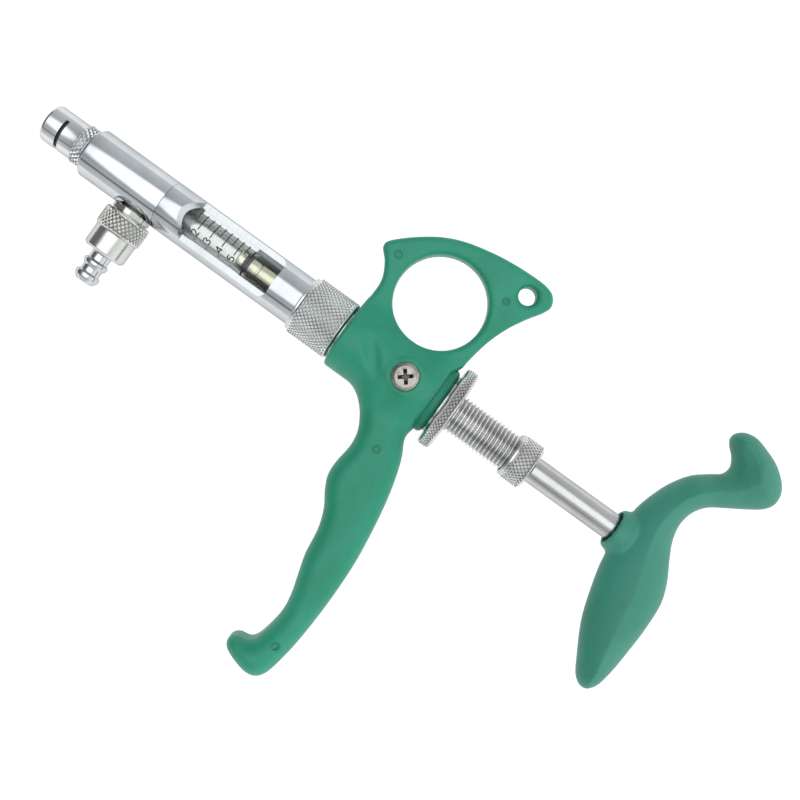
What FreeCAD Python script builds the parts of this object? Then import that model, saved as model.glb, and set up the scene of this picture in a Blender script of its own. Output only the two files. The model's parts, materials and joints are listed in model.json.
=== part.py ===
"""Continuous dosing syringe with a ring-and-lever handle frame and a palm handle.

Millimetres. The origin is the centre of the nozzle's mouth, on the barrel's axis.
+X runs from the nozzle to the palm handle, +Y from the axis to the finger ring,
and +Z out of the flat side that carries the frame screw. The tool lies on its side.
Threads and knurling are plain cylinders here, with running clearance between them.
"""
import FreeCAD, Part
import os
from math import cos, radians, sin

V = FreeCAD.Vector
ORIGIN, X_AXIS, Y_AXIS, Z_AXIS = V(0, 0, 0), V(1, 0, 0), V(0, 1, 0), V(0, 0, 1)

# Fits
RUN = 0.05            # radial clearance of a running fit or a plain thread stand-in
GAP = 0.3             # gap between faces of different bodies

# Nozzle cap and valve head
NOZZLE_R = 5.7
NOZZLE_BORE_R = 3.5
NOZZLE_BORE_L = 8.0
CLIP_GROOVE_X = 5.7
CLIP_GROOVE_W = 1.1
CLIP_GROOVE_R = 4.5
NOZZLE_BAND = (10.8, 14.1)
NOZZLE_BAND_R = 6.15
SPIGOT_R = 4.0        # threaded spigot of the nozzle cap
SPIGOT_END = 19.6
HEAD_FRONT = 14.6
HEAD_REAR = 40.4
HEAD_R = 7.55
CHAMBER_R = 2.8       # outlet valve chamber
CHAMBER_END = 29.0
PASSAGE_R = 1.2

# Inlet port, measured as distance from the barrel's axis
PORT_X = 33.8
PORT_HEX_R = 5.7
PORT_THREAD_R = 5.2
PORT_BORE_R = 2.2
NUT_TOP = 9.1
NUT_KNURL_END = 15.2
NUT_END = 21.9
NUT_KNURL_R = 7.0
NUT_SMOOTH_R = 6.35
BARB_SHANK_R = 3.7
BARB_R = 3.65
BARB_NECK_R = 3.0
BARB_BORE_R = 1.4
BARB_END = 31.5
BALL_R = 1.6

# Barrel
BARREL_R = 7.6
BARREL_BORE_R = 6.1
BARREL_REAR = 95.3
FLANGE_R = 7.95
GLASS_R = 6.0
GLASS_BORE_R = 2.75
GLASS = (44.8, 86.0)
GASKET_T = 0.8
WINDOW = (46.2, 78.9)
WINDOW_HALF = 6.65
WINDOW_FLAT = 3.8     # height of the milled flat above the axis
WINDOW_TURN = 9.0     # degrees, towards the finger ring
FAR_SLOT = (49.2, 68.5)   # light slot in the opposite wall
FAR_SLOT_HALF = 3.2
GLAND_END = 90.5

# Plunger
PISTON = (66.1, 79.0)
PISTON_R = 2.68
O_RING_X = 69.2
O_RING_T = 0.9
ROD_R = 4.0
STEM_R = 2.0          # slender front part of the rod
COLLAR = (124.0, 126.5)
COLLAR_R = 5.5
ROD_END = 209.9

# Connection nut
CONNECTOR = (87.8, 102.2)
CONNECTOR_R = 9.2

# Handle frame
HOUSING = (102.5, 136.5)
HOUSING_R = 10.4
LINER_R = 8.45
LINER_BORE_R = 6.35
PLATE_T = 8.0
LEVER_T = 15.0
RING_CENTRE = (119.9, 22.9)
RING_R = 13.6
HANG_HOLE = (138.8, 38.8)
HANG_HOLE_R = 2.65
SCREW_X = 124.2
SCREW_HEAD_R = 4.0
SCREW_R = 2.0

# Dose setting
SLEEVE_R = 5.8
SLEEVE = (127.6, 167.0)
LOCK_DISC = (137.3, 141.0)
LOCK_DISC_R = 12.75
END_NUT = (160.9, 168.3)
END_NUT_R = 7.05

# Palm handle
PALM_T = 18.0
PALM_COLLAR = (196.8, 200.1)
PALM_COLLAR_R = 6.1
INSERT = (200.1, 210.9)
INSERT_R = 5.0


def turned(points):
    """A solid of revolution about X through (x, radius) corner points."""
    corners = [V(x, r, 0) for x, r in points]
    face = Part.Face(Part.makePolygon(corners + corners[:1]))
    return face.revolve(ORIGIN, X_AXIS, 360)


def ring(x0, x1, outer, inner=0.0, chamfer=0.0):
    """A tube or bar along X, with both outer rims chamfered."""
    c = chamfer
    points = [(x0, inner), (x0, outer - c), (x0 + c, outer),
              (x1 - c, outer), (x1, outer - c), (x1, inner)]
    if c == 0:
        points = [(x0, inner), (x0, outer), (x1, outer), (x1, inner)]
    return turned(points)


def o_ring(x, inner, section):
    """A torus about X with the given inner radius and section radius."""
    return Part.makeTorus(inner + section, section, V(x, 0, 0), X_AXIS)


def at_port(shape):
    """Swing a part that was built along +X from the axis to the inlet port, along -Y."""
    shape.rotate(ORIGIN, Z_AXIS, -90)
    shape.translate(V(PORT_X, 0, 0))
    return shape


def smooth_edge(points):
    """One smooth edge through a few (x, y) points."""
    curve = Part.BSplineCurve()
    curve.interpolate([V(x, y, 0) for x, y in points])
    return curve.toShape()


def slab(edges, thickness, chamfer):
    """A plate of the outline, centred on z = 0, with chamfered edges."""
    face = Part.Face(Part.Wire(Part.__sortEdges__(edges)))
    solid = face.extrude(V(0, 0, thickness))
    solid.translate(V(0, 0, -thickness / 2))
    flat_edges = [e for e in solid.Edges
                  if abs(abs(e.BoundBox.ZMin) - thickness / 2) < 1e-4
                  and e.BoundBox.ZLength < 1e-4]
    return solid.makeChamfer(chamfer, flat_edges)


def straight(a, b):
    return Part.makeLine(V(*a, 0), V(*b, 0))


# Nozzle end

def nozzle_cap():
    r, g = NOZZLE_R, CLIP_GROOVE_W / 2
    body = turned([
        (0, NOZZLE_BORE_R), (0, r - 0.8), (0.25, r - 0.25), (0.8, r),
        (CLIP_GROOVE_X - g, r), (CLIP_GROOVE_X - g, CLIP_GROOVE_R),
        (CLIP_GROOVE_X + g, CLIP_GROOVE_R), (CLIP_GROOVE_X + g, r),
        (NOZZLE_BAND[0], r), (NOZZLE_BAND[0], NOZZLE_BAND_R),
        (NOZZLE_BAND[1], NOZZLE_BAND_R), (NOZZLE_BAND[1], SPIGOT_R),
        (SPIGOT_END, SPIGOT_R), (SPIGOT_END, PASSAGE_R),
        (NOZZLE_BORE_L, PASSAGE_R), (NOZZLE_BORE_L, NOZZLE_BORE_R)])
    groove = ring(CLIP_GROOVE_X - g, CLIP_GROOVE_X + g, r, CLIP_GROOVE_R)
    upper_half = Part.makeBox(2 * CLIP_GROOVE_W, 2 * r, 2 * r,
                              V(CLIP_GROOVE_X - CLIP_GROOVE_W, 0, -r))
    return body.fuse(groove.common(upper_half)).removeSplitter()


def nozzle_gasket():
    return ring(SPIGOT_END + RUN, SPIGOT_END + 0.7, SPIGOT_R - 0.2, PASSAGE_R + 0.3)


def outlet_valve_spring():
    return ring(SPIGOT_END + 0.85, CHAMBER_END - 2.8, 2.2, 1.5)


def outlet_valve_poppet():
    end = CHAMBER_END - RUN
    return turned([(end - 2.5, 0), (end - 2.5, 2.3), (end - 1.1, 2.3), (end, 1.2), (end, 0)])


def valve_head():
    body = turned([
        (HEAD_FRONT, 0), (HEAD_FRONT, HEAD_R - 0.6), (HEAD_FRONT + 0.6, HEAD_R),
        (HEAD_REAR, HEAD_R), (HEAD_REAR, BARREL_BORE_R - RUN),
        (GLASS[0] - GASKET_T, BARREL_BORE_R - RUN), (GLASS[0] - GASKET_T, 0)])
    tunnel = turned([
        (HEAD_FRONT - 1, 0), (HEAD_FRONT - 1, SPIGOT_R + RUN),
        (SPIGOT_END + 0.8, SPIGOT_R + RUN), (SPIGOT_END + 0.8, CHAMBER_R),
        (CHAMBER_END - 1.1, CHAMBER_R), (CHAMBER_END - 1.1, 2.4), (CHAMBER_END, PASSAGE_R + RUN),
        (GLASS[0], PASSAGE_R + RUN), (GLASS[0], 0)])
    port = at_port(turned([(0, 0), (0, PASSAGE_R), (3.0, PASSAGE_R), (3.0, 3.5), (9, 3.5), (9, 0)]))
    return body.cut(tunnel).cut(port)


# Inlet port

def inlet_nipple():
    hexagon = [(PORT_HEX_R * cos(radians(a)), PORT_HEX_R * sin(radians(a)))
               for a in range(0, 360, 60)]
    corners = [V(4.5, y, z) for y, z in hexagon]
    flats = Part.Face(Part.makePolygon(corners + corners[:1])).extrude(V(NUT_TOP - GAP - 4.5, 0, 0))
    body = flats.fuse([ring(3.2, 6, 3.5 - RUN), ring(NUT_TOP - 1, 16.6, PORT_THREAD_R)])
    bore = turned([(3, 0), (3, PASSAGE_R), (10, PASSAGE_R), (10, PORT_BORE_R),
                   (17, PORT_BORE_R), (17, 0)])
    barrel_side = Part.makeCylinder(BARREL_R + RUN, 30, V(20, 0, 0), X_AXIS)
    inner_core = at_port(ring(3.2, 8, 3.5 - RUN))
    collar_cut = barrel_side.cut(inner_core)
    return at_port(body.cut(bore)).cut(collar_cut)


def inlet_valve_spring():
    return at_port(ring(10.1, 15.4, 1.7, 1.2))


def inlet_valve_ball():
    seat = 17.4 - RUN
    drop = (BALL_R ** 2 - BARB_BORE_R ** 2) ** 0.5
    return at_port(Part.makeSphere(BALL_R, V(seat - drop, 0, 0)))


def inlet_gasket():
    return at_port(ring(16.6 + RUN, 17.4 - RUN, PORT_THREAD_R, PORT_BORE_R + 0.3))


def union_nut():
    inner = PORT_THREAD_R + RUN
    return at_port(turned([
        (NUT_TOP, inner), (NUT_TOP, NUT_KNURL_R - 0.5), (NUT_TOP + 0.5, NUT_KNURL_R),
        (NUT_KNURL_END - 0.4, NUT_KNURL_R), (NUT_KNURL_END, NUT_SMOOTH_R + 0.1),
        (NUT_KNURL_END + 0.4, NUT_SMOOTH_R), (NUT_END - 0.6, NUT_SMOOTH_R - 0.1),
        (NUT_END, NUT_SMOOTH_R - 0.8), (NUT_END, BARB_SHANK_R + RUN),
        (19.3, BARB_SHANK_R + RUN), (19.3, inner)]))


def hose_barb():
    return at_port(turned([
        (17.4, BARB_BORE_R), (17.4, PORT_THREAD_R - RUN), (19.25, PORT_THREAD_R - RUN),
        (19.25, BARB_SHANK_R), (NUT_END, BARB_SHANK_R), (NUT_END + 0.3, BARB_NECK_R),
        (24.5, BARB_NECK_R), (24.9, BARB_R), (26.0, BARB_R), (26.7, BARB_NECK_R),
        (28.5, BARB_NECK_R), (28.9, BARB_R), (30.3, BARB_R), (BARB_END, 2.5),
        (BARB_END, BARB_BORE_R)]))


# Barrel

def cylinder_gasket(x):
    return ring(x, x + GASKET_T, GLASS_R - 0.1, GLASS_BORE_R)


def glass_cylinder():
    return ring(GLASS[0], GLASS[1], GLASS_R, GLASS_BORE_R, 0.3)


def pocket(x0, x1, half, depth):
    """A pocket down to the given height, round at the nozzle end and square at the other."""
    corner = 2.2
    front = V(x0 + half, 0, 0)
    start, middle, end = front + V(0, half, 0), front + V(-half, 0, 0), front + V(0, -half, 0)
    nose = Part.Arc(start, middle, end).toShape()
    rear = Part.makePolygon([end, V(x1, -half, 0), V(x1, half, 0), start])
    cutter = Part.Face(Part.Wire(Part.__sortEdges__([nose] + rear.Edges)))
    cutter = cutter.extrude(V(0, 0, 2 * BARREL_R))
    corners = [e for e in cutter.Edges
               if e.BoundBox.XMin > x1 - 0.1 and e.BoundBox.ZLength > BARREL_R]
    cutter = cutter.makeFillet(corner, corners)
    cutter.translate(V(0, 0, depth))
    cutter.rotate(ORIGIN, X_AXIS, -WINDOW_TURN)
    return cutter


def barrel_sleeve():
    body = turned([
        (HEAD_REAR + RUN, BARREL_BORE_R), (HEAD_REAR + RUN, BARREL_R),
        (BARREL_REAR - 2.3, BARREL_R), (BARREL_REAR - 2.3, FLANGE_R),
        (BARREL_REAR, FLANGE_R), (BARREL_REAR, BARREL_BORE_R)])
    light_slot = pocket(*FAR_SLOT, FAR_SLOT_HALF, 3.0)
    light_slot.rotate(ORIGIN, X_AXIS, 180)
    return body.cut(pocket(*WINDOW, WINDOW_HALF, WINDOW_FLAT)).cut(light_slot)


def rod_gland():
    return ring(GLASS[1] + GASKET_T, GLAND_END, BARREL_BORE_R - RUN, STEM_R + RUN, 0.4)


def connection_nut():
    x0, x1 = CONNECTOR
    shoulder = BARREL_REAR - 2.3 - RUN
    r = CONNECTOR_R
    return turned([
        (x0, BARREL_R + RUN), (x0, r - 0.7), (x0 + 0.9, r - 0.7), (x0 + 0.9, r - 0.4),
        (x0 + 1.3, r), (x1 - 0.6, r), (x1, r - 0.6), (x1, FLANGE_R + RUN),
        (shoulder, FLANGE_R + RUN), (shoulder, BARREL_R + RUN)])


# Plunger

def piston():
    x0, x1 = PISTON
    g = O_RING_T + 0.1
    floor = PISTON_R - 2 * O_RING_T + 0.05
    return turned([
        (x0, 0), (x0, PISTON_R - 0.2), (x0 + 0.2, PISTON_R), (O_RING_X - g, PISTON_R),
        (O_RING_X - g, floor), (O_RING_X + g, floor), (O_RING_X + g, PISTON_R),
        (x1 - 0.3, PISTON_R), (x1, PISTON_R - 0.3), (x1, 1.5), (x1 - 6, 1.5), (x1 - 6, 0)])


def piston_o_ring():
    return o_ring(O_RING_X, PISTON_R - 2 * O_RING_T + 0.06, O_RING_T)


def plunger_rod():
    return turned([
        (PISTON[1] - 5.8, 0), (PISTON[1] - 5.8, 1.45), (PISTON[1] + RUN, 1.45),
        (PISTON[1] + RUN, STEM_R), (COLLAR[0], STEM_R), (COLLAR[0], COLLAR_R),
        (COLLAR[1], COLLAR_R), (COLLAR[1], ROD_R), (INSERT[0], ROD_R), (INSERT[0], 3.0),
        (ROD_END, 3.0), (ROD_END, 0)])


def spring_washer():
    return ring(COLLAR[0] - 0.9, COLLAR[0] - RUN, COLLAR_R, STEM_R + RUN)


def return_spring():
    return ring(GLAND_END + 0.1, COLLAR[0] - 1.0, 5.2, 4.2)


# Handle frame

def frame_head():
    """The flat head with the finger ring, a horn in front and the hang hole behind."""
    front = smooth_edge([(102.5, 4.0), (102.7, 16.5), (100.3, 23.0), (97.5, 26.4),
                         (97.8, 28.6), (104.2, 34.6), (112.8, 39.9), (124.2, 43.0),
                         (135.6, 44.4), (142.5, 44.0), (145.5, 41.4), (145.3, 37.9),
                         (141.3, 31.4), (138.1, 24.5), (136.1, 16.0), (135.5, 4.0)])
    return slab([front, straight((135.5, 4.0), (102.5, 4.0))], PLATE_T, 1.5)


def frame_lever():
    """The finger lever, waved for the fingers and hooked at its foot."""
    edge = smooth_edge([(114.9, -8.0), (118.5, -14.2), (121.9, -19.5), (122.7, -25.5),
                        (122.0, -33.0), (124.3, -39.0), (127.5, -44.0), (129.3, -50.0),
                        (130.5, -57.0), (133.8, -68.4), (134.5, -75.0), (132.8, -84.2),
                        (128.5, -86.5), (126.9, -89.2), (129.9, -92.1), (136.1, -93.7),
                        (140.1, -92.0), (142.1, -86.0), (143.6, -72.0), (143.6, -56.0),
                        (141.1, -35.0), (137.5, -21.2), (134.3, -14.5), (132.9, -8.0)])
    return slab([edge, straight((132.9, -8.0), (114.9, -8.0))], LEVER_T, 1.5)


def handle_frame():
    barrel_house = ring(HOUSING[0], HOUSING[1], HOUSING_R, 0, 0.8)
    pad = Part.makeCylinder(5.4, HOUSING_R - 0.1, V(SCREW_X, 0, 0), Z_AXIS)
    body = barrel_house.fuse([frame_head(), frame_lever(), pad])
    cuts = [
        ring(HOUSING[0] - 1, HOUSING[1] + 1, LINER_R + RUN),
        Part.makeCylinder(RING_R, 20, V(*RING_CENTRE, -10), Z_AXIS),
        Part.makeCylinder(HANG_HOLE_R, 20, V(*HANG_HOLE, -10), Z_AXIS),
        Part.makeCylinder(SCREW_R + RUN, 20, V(SCREW_X, 0, 0), Z_AXIS)]
    return body.cut(cuts)


def frame_liner():
    nose = FLANGE_R
    front = BARREL_REAR + GAP
    body = turned([
        (front, LINER_BORE_R), (front, nose - 0.4), (front + 0.4, nose),
        (HOUSING[0] + 0.1, nose), (HOUSING[0] + 0.1, LINER_R),
        (HOUSING[1], LINER_R), (HOUSING[1], SLEEVE_R + RUN), (SLEEVE[0] - 0.2, SLEEVE_R + RUN),
        (SLEEVE[0] - 0.2, LINER_BORE_R)])
    return body.cut(Part.makeCylinder(SCREW_R, 20, V(SCREW_X, 0, 0), Z_AXIS))


def frame_screw():
    base = HOUSING_R
    head = Part.makeCylinder(SCREW_HEAD_R, 2.2, V(SCREW_X, 0, base), Z_AXIS)
    rim = [e for e in head.Edges if e.BoundBox.ZMin > base + 2]
    head = head.makeFillet(1.2, rim)
    shank = Part.makeCylinder(SCREW_R, base - LINER_BORE_R - 0.3,
                              V(SCREW_X, 0, LINER_BORE_R + 0.3), Z_AXIS)
    recess = [Part.makeBox(4.6, 0.9, 1.6, V(-2.3, -0.45, 0)),
              Part.makeBox(0.9, 4.6, 1.6, V(-0.45, -2.3, 0))]
    cross = recess[0].fuse(recess[1])
    cross.rotate(ORIGIN, Z_AXIS, 30)
    cross.translate(V(SCREW_X, 0, base + 0.8))
    return head.fuse(shank).cut(cross)


# Dose setting

def stop_washer():
    return ring(COLLAR[1] + RUN, SLEEVE[0] - RUN, COLLAR_R, ROD_R + RUN)


def dose_sleeve():
    return ring(SLEEVE[0], SLEEVE[1], SLEEVE_R, ROD_R + RUN, 0.3)


def end_nut():
    x0, x1 = END_NUT
    r, lip = END_NUT_R, 1.2
    return turned([
        (x0, SLEEVE_R + RUN), (x0, r - 0.7), (x0 + 0.4, r - 0.3), (x0 + lip, r - 0.3),
        (x0 + lip, r), (x1 - 0.7, r), (x1, r - 0.7), (x1, ROD_R + RUN),
        (SLEEVE[1] + RUN, ROD_R + RUN), (SLEEVE[1] + RUN, SLEEVE_R + RUN)])


def lock_washer():
    return ring(HOUSING[1] + 0.1, LOCK_DISC[0] - RUN, LINER_R + 0.8, SLEEVE_R + RUN)


def lock_disc():
    return ring(LOCK_DISC[0], LOCK_DISC[1], LOCK_DISC_R, SLEEVE_R + RUN, 0.45)


# Palm handle

def palm_handle():
    """An S-shaped grip: a drooping tail below the rod and a curled horn above it."""
    tail, horn = (216.5, -41.9), (214.9, 44.6)
    front = smooth_edge([tail, (213.4, -40.5), (207.4, -30.8), (202.0, -17.1), (199.5, -7.0),
                         (199.1, 0.0), (199.4, 8.6), (201.7, 17.1), (206.5, 25.1), (212.5, 29.9),
                         (214.3, 33.4), (210.3, 38.6), (210.1, 42.6), horn])
    back = smooth_edge([horn, (223.9, 41.8), (229.3, 37.2), (230.4, 32.4), (225.9, 27.2),
                        (215.4, 20.2), (212.0, 12.0), (214.3, 4.0), (219.3, -5.0),
                        (221.3, -17.1), (220.7, -33.0), (219.1, -39.9), tail])
    body = slab([front, back], PALM_T, 2.5)
    body = body.fuse(ring(PALM_COLLAR[0], PALM_COLLAR[1] + 2, PALM_COLLAR_R, 0, 0.8))
    bore = turned([
        (PALM_COLLAR[0] - 1, 0), (PALM_COLLAR[0] - 1, ROD_R + RUN), (INSERT[0], ROD_R + RUN),
        (INSERT[0], INSERT_R + RUN), (INSERT[1] + RUN, INSERT_R + RUN), (INSERT[1] + RUN, 0)])
    return body.cut(bore)


def palm_insert():
    return ring(INSERT[0] + RUN, INSERT[1], INSERT_R, 3.0 + RUN, 0.3)


PIECES = {
    "nozzle_cap": nozzle_cap,
    "nozzle_gasket": nozzle_gasket,
    "outlet_valve_spring": outlet_valve_spring,
    "outlet_valve_poppet": outlet_valve_poppet,
    "valve_head": valve_head,
    "inlet_nipple": inlet_nipple,
    "inlet_valve_spring": inlet_valve_spring,
    "inlet_valve_ball": inlet_valve_ball,
    "inlet_gasket": inlet_gasket,
    "union_nut": union_nut,
    "hose_barb": hose_barb,
    "front_cylinder_gasket": lambda: cylinder_gasket(GLASS[0] - GASKET_T),
    "rear_cylinder_gasket": lambda: cylinder_gasket(GLASS[1]),
    "glass_cylinder": glass_cylinder,
    "barrel_sleeve": barrel_sleeve,
    "rod_gland": rod_gland,
    "connection_nut": connection_nut,
    "piston": piston,
    "piston_o_ring": piston_o_ring,
    "plunger_rod": plunger_rod,
    "spring_washer": spring_washer,
    "return_spring": return_spring,
    "handle_frame": handle_frame,
    "frame_liner": frame_liner,
    "frame_screw": frame_screw,
    "stop_washer": stop_washer,
    "dose_sleeve": dose_sleeve,
    "end_nut": end_nut,
    "lock_washer": lock_washer,
    "lock_disc": lock_disc,
    "palm_handle": palm_handle,
    "palm_insert": palm_insert,
}

os.makedirs("parts", exist_ok=True)
for name, build in PIECES.items():
    shape = build()
    shape.exportStep(f"parts/{name}.step")
    print(name, len(shape.Solids), shape.isValid(), round(shape.Volume, 1))
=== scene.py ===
"""Looks for the continuous dosing syringe. Lengths are in millimetres until a mesh is made."""
import json
from math import cos, hypot, pi, radians, sin, tau

import bmesh
import bpy
import numpy as np
from mathutils import Matrix, Vector


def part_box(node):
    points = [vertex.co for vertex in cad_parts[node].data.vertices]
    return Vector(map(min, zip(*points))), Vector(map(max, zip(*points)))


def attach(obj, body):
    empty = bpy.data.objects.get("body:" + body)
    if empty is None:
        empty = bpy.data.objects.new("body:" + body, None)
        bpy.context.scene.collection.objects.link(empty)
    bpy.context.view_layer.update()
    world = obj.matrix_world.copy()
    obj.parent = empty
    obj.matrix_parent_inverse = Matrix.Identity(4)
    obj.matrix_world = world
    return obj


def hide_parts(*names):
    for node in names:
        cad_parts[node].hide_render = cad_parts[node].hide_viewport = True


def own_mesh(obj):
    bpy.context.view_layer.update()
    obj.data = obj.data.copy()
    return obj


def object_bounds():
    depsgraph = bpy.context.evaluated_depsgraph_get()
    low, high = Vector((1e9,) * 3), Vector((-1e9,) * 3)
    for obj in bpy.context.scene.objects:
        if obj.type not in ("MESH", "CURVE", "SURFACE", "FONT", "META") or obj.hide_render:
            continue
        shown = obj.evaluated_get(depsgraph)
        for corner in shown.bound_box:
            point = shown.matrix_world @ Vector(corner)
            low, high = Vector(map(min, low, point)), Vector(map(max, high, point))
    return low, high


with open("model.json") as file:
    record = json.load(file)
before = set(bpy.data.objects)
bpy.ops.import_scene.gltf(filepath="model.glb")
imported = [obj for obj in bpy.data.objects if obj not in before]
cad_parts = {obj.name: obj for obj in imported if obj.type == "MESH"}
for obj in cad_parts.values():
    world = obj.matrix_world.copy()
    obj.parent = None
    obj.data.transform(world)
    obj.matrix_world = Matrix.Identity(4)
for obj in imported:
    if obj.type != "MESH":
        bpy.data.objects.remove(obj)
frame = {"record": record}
cad_low, cad_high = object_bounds()
MM = 0.001
HOME = {part: body for body, parts in frame["record"]["behaviour"]["bodies"].items()
        for part in parts}


def extent(node, axis):
    """(low, high) of a CAD node along one axis, in millimetres."""
    low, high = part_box(node)
    return round(low[axis] / MM, 2), round(high[axis] / MM, 2)


def radius_of(node):
    """The largest radius of a node that lies round the barrel's axis."""
    return max(extent(node, 1)[1], extent(node, 2)[1])


# Places and sizes taken from the frame
CAP_X = extent("nozzle_cap", 0)
HEAD_X = extent("valve_head", 0)
HEAD_R = radius_of("valve_head")
SLEEVE_X = extent("barrel_sleeve", 0)
GLASS_R = radius_of("glass_cylinder")
DOSE_X = extent("dose_sleeve", 0)
PORT_X = sum(extent("hose_barb", 0)) / 2
SCREW_X = sum(extent("frame_screw", 0)) / 2
FLOOR_Z = cad_low.z / MM

BARREL_R = 7.6
HOUSING_R = 10.4
RING_CENTRE, RING_R = (119.9, 22.9), 13.6
HANG_HOLE, HANG_HOLE_R = (138.8, 38.8), 2.65
PLATE_TOP = 4.0
LEVER_TOP = 7.5
WINDOW, WINDOW_HALF, WINDOW_FLAT = (46.2, 78.9), 6.65, 3.8
FAR_SLOT, FAR_SLOT_HALF, FAR_SLOT_FLAT = (49.2, 68.5), 3.9, 3.0
WINDOW_TURN = 9.0
CLIP_SLOT = (5.15, 6.25)
DIVISION = 4.13       # between the figures of the scale

# Knurls and the thread: outer radius, depth
CAP_KNURL = (radius_of("nozzle_cap"), 0.42)
UNION_KNURL = (7.0, 0.6)
NUT_KNURL = (radius_of("connection_nut"), 0.6)
END_KNURL = (radius_of("end_nut"), 0.5)
DISC_KNURL = (radius_of("lock_disc"), 0.5)
DOSE_THREAD = (radius_of("dose_sleeve"), 0.85)


# ---------------------------------------------------------------- materials

def new_material(name, color, metallic=0.0, roughness=0.5):
    mat = bpy.data.materials.new(name)
    mat.use_nodes = True
    shader = mat.node_tree.nodes["Principled BSDF"]
    shader.inputs["Base Color"].default_value = (*color, 1)
    shader.inputs["Metallic"].default_value = metallic
    shader.inputs["Roughness"].default_value = roughness
    return mat, mat.node_tree, shader


def node(tree, kind, **inputs):
    made = tree.nodes.new(kind)
    for key, value in inputs.items():
        made.inputs[key.replace("_", " ")].default_value = value
    return made


def coordinates(tree, scale):
    """Object coordinates, stretched by scale, so that patterns follow the real size."""
    coord = tree.nodes.new("ShaderNodeTexCoord")
    mapping = node(tree, "ShaderNodeMapping", Scale=scale)
    tree.links.new(coord.outputs["Object"], mapping.inputs["Vector"])
    return mapping.outputs["Vector"]


def ramp(tree, source, low, high, value_low, value_high):
    """A remap of a grey pattern to a range of values."""
    remap = node(tree, "ShaderNodeMapRange", From_Min=low, From_Max=high,
                 To_Min=value_low, To_Max=value_high)
    tree.links.new(source, remap.inputs["Value"])
    return remap.outputs["Result"]


def tint(tree, source, dark, light, low=0.3, high=0.7):
    """A colour that runs from dark to light with a grey pattern."""
    blend = tree.nodes.new("ShaderNodeValToRGB")
    blend.color_ramp.elements[0].position = low
    blend.color_ramp.elements[0].color = (*dark, 1)
    blend.color_ramp.elements[1].position = high
    blend.color_ramp.elements[1].color = (*light, 1)
    tree.links.new(source, blend.inputs["Fac"])
    return blend.outputs["Color"]


def bump(tree, shader, height, distance, strength=1.0):
    made = node(tree, "ShaderNodeBump", Strength=strength, Distance=distance)
    tree.links.new(height, made.inputs["Height"])
    tree.links.new(made.outputs["Normal"], shader.inputs["Normal"])


def painted_valley_shade(tree, color, axis, middle, radius, depth, shade, plain=0.75):
    """Painted shade: the colour, darkened towards the bottom of cuts of the given depth round an
    axis.

    shade is the painted shade left at the bottom, and plain what is left further in.
    """
    coord = tree.nodes.new("ShaderNodeTexCoord")
    place = node(tree, "ShaderNodeVectorMath")
    place.operation = "SUBTRACT"
    place.inputs[1].default_value = middle
    flat = node(tree, "ShaderNodeVectorMath")
    flat.operation = "MULTIPLY"
    flat.inputs[1].default_value = (0, 1, 1) if axis == "X" else (1, 0, 1)
    length = node(tree, "ShaderNodeVectorMath")
    length.operation = "LENGTH"
    tree.links.new(coord.outputs["Object"], place.inputs[0])
    tree.links.new(place.outputs["Vector"], flat.inputs[0])
    tree.links.new(flat.outputs["Vector"], length.inputs[0])
    floor_r = (radius - depth) * MM
    # painted shade: full colour near the crest, falling to shade at the floor of the cut
    height = ramp(tree, length.outputs["Value"], floor_r, (radius - 0.1 * depth) * MM, shade, 1.0)
    inside = ramp(tree, length.outputs["Value"], floor_r - 0.02 * MM, floor_r, plain - shade, 0.0)
    total = node(tree, "ShaderNodeMath")
    tree.links.new(height, total.inputs[0])
    tree.links.new(inside, total.inputs[1])
    scaled = node(tree, "ShaderNodeVectorMath")
    scaled.operation = "SCALE"
    tree.links.new(color, scaled.inputs[0])
    tree.links.new(total.outputs["Value"], scaled.inputs["Scale"])
    return scaled.outputs["Vector"]


def metal(name, dark, light, rough_low, rough_high, groove=0.0, axis="X", stain=90.0,
          rim=0.55, cut=None, middle=(0, 0, 0)):
    """Turned or polished metal: soft stains in colour, fine tool marks in roughness and bump.

    rim is the share of light left at a grazing look. cut is (radius, depth, shade) of a
    knurl or thread round the axis through middle, whose valleys get painted shade.
    """
    mat, tree, shader = new_material(name, light, 1.0, rough_low)
    cloud = node(tree, "ShaderNodeTexNoise", Scale=stain, Detail=4.0, Roughness=0.6)
    tree.links.new(coordinates(tree, (1, 1, 1)), cloud.inputs["Vector"])
    color = tint(tree, cloud.outputs["Fac"], dark, light)
    # painted shade darkens the colour in the valleys of a knurl or thread
    if cut:
        color = painted_valley_shade(tree, color, axis, middle, *cut)
    tree.links.new(color, shader.inputs["Base Color"])
    stretch = {"X": (9000, 60, 60), "Y": (60, 9000, 60), "Z": (900, 900, 900)}[axis]
    marks = node(tree, "ShaderNodeTexNoise", Scale=1.0, Detail=2.0, Roughness=0.5)
    tree.links.new(coordinates(tree, stretch), marks.inputs["Vector"])
    tree.links.new(ramp(tree, marks.outputs["Fac"], 0.3, 0.7, rough_low, rough_high),
                   shader.inputs["Roughness"])
    shader.inputs["Specular Tint"].default_value = (rim, rim, rim, 1)
    if groove:
        bump(tree, shader, marks.outputs["Fac"], groove * MM)
    return mat


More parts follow.
